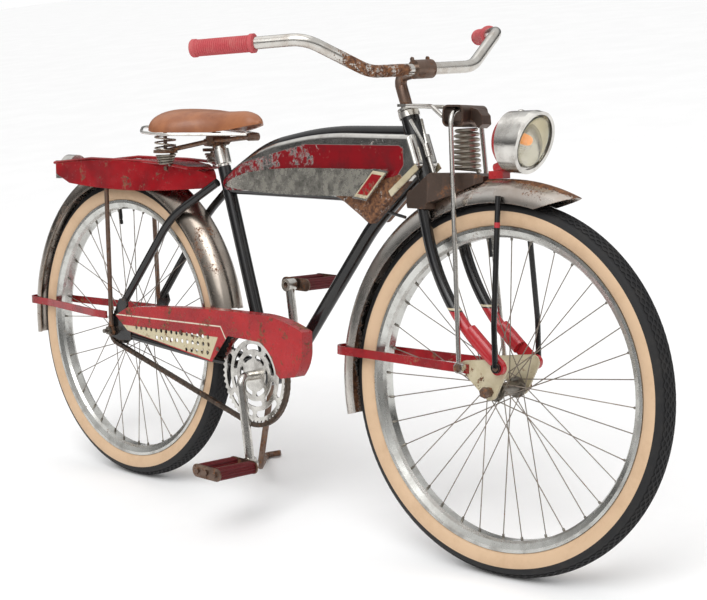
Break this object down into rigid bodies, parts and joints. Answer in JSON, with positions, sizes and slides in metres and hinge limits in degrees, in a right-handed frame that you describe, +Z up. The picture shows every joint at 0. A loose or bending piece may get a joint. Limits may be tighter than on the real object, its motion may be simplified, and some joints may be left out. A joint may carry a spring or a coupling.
{
  "type": "balloon tyre bicycle",
  "caption": "Balloon tyre bicycle with sprung girder fork, frame tank, deep fenders, rack, lamp, chain drive and side stand, parked at a lean.",
  "frame": {"origin": "centre of the bounding box's base, on the floor", "axes": "+X towards the front wheel, +Y to the rider's left, +Z up from the floor"},
  "size_m": [1.7926, 0.6932, 0.976],
  "materials": {
    "black_paint": "worn gloss",
    "red_paint": "worn satin",
    "cream_paint": "worn satin",
    "chrome": "pitted",
    "dull_rim": "dull, rust spots",
    "rusty_steel": "rusted",
    "dark_steel": "oiled, dark",
    "fender_metal": "bare steel with rust",
    "tyre_rubber": "matte",
    "grip_rubber": "matte",
    "pedal_rubber": "matte",
    "saddle_leather": "worn",
    "lamp_glass": "ribbed"
  },
  "bodies": {
    "frame": {"head_tube": "black_paint", "headset_cups": "chrome", "seat_tube": "black_paint", "down_tube": "black_paint", "top_tube": "black_paint", "tank_bar": "black_paint", "seat_stays": "black_paint", "chain_stays": "black_paint", "tank": "red_paint", "rear_fender": "fender_metal", "rear_loop_brace": "red_paint", "rack_struts": "rusty_steel", "rack": "red_paint", "tail_light": "chrome", "chain": "dark_steel", "chain_guard": "red_paint", "stand_bracket": "rusty_steel", "seat_post": "chrome", "saddle_top": "saddle_leather", "saddle_frame": "rusty_steel", "saddle_springs": "chrome", "saddle_loop": "chrome", "rear_axle": "dark_steel", "tank_pontoons": "chrome", "head_trim": "chrome"},
    "fork": {"fork_legs": "black_paint", "rocker_plates": "cream_paint", "front_axle": "rusty_steel", "truss_rod": "chrome", "fork_crown": "rusty_steel", "fork_spring": "dark_steel", "spring_yoke": "rusty_steel", "headset_plate": "chrome", "front_braces": "black_paint", "stem": "rusty_steel", "handlebar": "chrome", "grips": "grip_rubber", "lamp_shell": "red_paint", "lamp_bezel": "chrome", "lamp_lens": "lamp_glass", "front_fender": "fender_metal", "front_loop_brace": "red_paint"},
    "front_wheel": {"front_tyre": "tyre_rubber", "front_rim": "dull_rim", "front_hub": "dark_steel", "front_spokes": "dull_rim"},
    "rear_wheel": {"rear_tyre": "tyre_rubber", "rear_rim": "dull_rim", "rear_hub": "dark_steel", "rear_spokes": "dull_rim"},
    "rear_cog": {"rear_cog": "dark_steel"},
    "crank": {"crank": "chrome", "chainring": "chrome"},
    "pedal_right": {"pedal_right": "rusty_steel", "pedal_right_blocks": "pedal_rubber"},
    "pedal_left": {"pedal_left": "rusty_steel", "pedal_left_blocks": "pedal_rubber"},
    "kickstand": {"kickstand": "rusty_steel"}
  },
  "joints": [
    {"name": "steering", "type": "hinge", "parent": "frame", "child": "fork", "pos_m": [0.38373, -0.05302, 0.67495], "axis": [-0.3656, 0.1376, 0.9205], "range_deg": [-50, 39]},
    {"name": "front_wheel_spin", "type": "hinge", "parent": "fork", "child": "front_wheel", "pos_m": [0.56649, -0.10129, 0.32601], "axis": [-0.086, 0.9798, -0.1806], "continuous": true},
    {"name": "rear_wheel_spin", "type": "hinge", "parent": "frame", "child": "rear_wheel", "pos_m": [-0.51834, -0.10492, 0.32766], "axis": [0, 0.989, -0.1478], "continuous": true},
    {"name": "crank_spin", "type": "hinge", "parent": "frame", "child": "crank", "pos_m": [-0.05839, -0.11193, 0.28074], "axis": [0, 0.989, -0.1478], "continuous": true},
    {"name": "rear_cog_spin", "type": "hinge", "parent": "frame", "child": "rear_cog", "pos_m": [-0.51834, -0.10492, 0.32766], "axis": [0, 0.989, -0.1478], "continuous": true},
    {"name": "pedal_right_spin", "type": "hinge", "parent": "crank", "child": "pedal_right", "pos_m": [-0.03148, -0.21483, 0.12333], "axis": [0, 0.989, -0.1478], "continuous": true},
    {"name": "pedal_left_spin", "type": "hinge", "parent": "crank", "child": "pedal_left", "pos_m": [-0.08529, -0.00903, 0.43816], "axis": [0, 0.989, -0.1478], "continuous": true},
    {"name": "kickstand_fold", "type": "hinge", "parent": "frame", "child": "kickstand", "pos_m": [-0.11041, -0.07364, 0.25283], "axis": [0.2024, 0.923, 0.3271], "range_deg": [0, 49.6]}
  ],
  "couplings": [
    {"joint": "rear_cog_spin", "follows": "crank_spin", "ratio": 3.125}
  ]
}
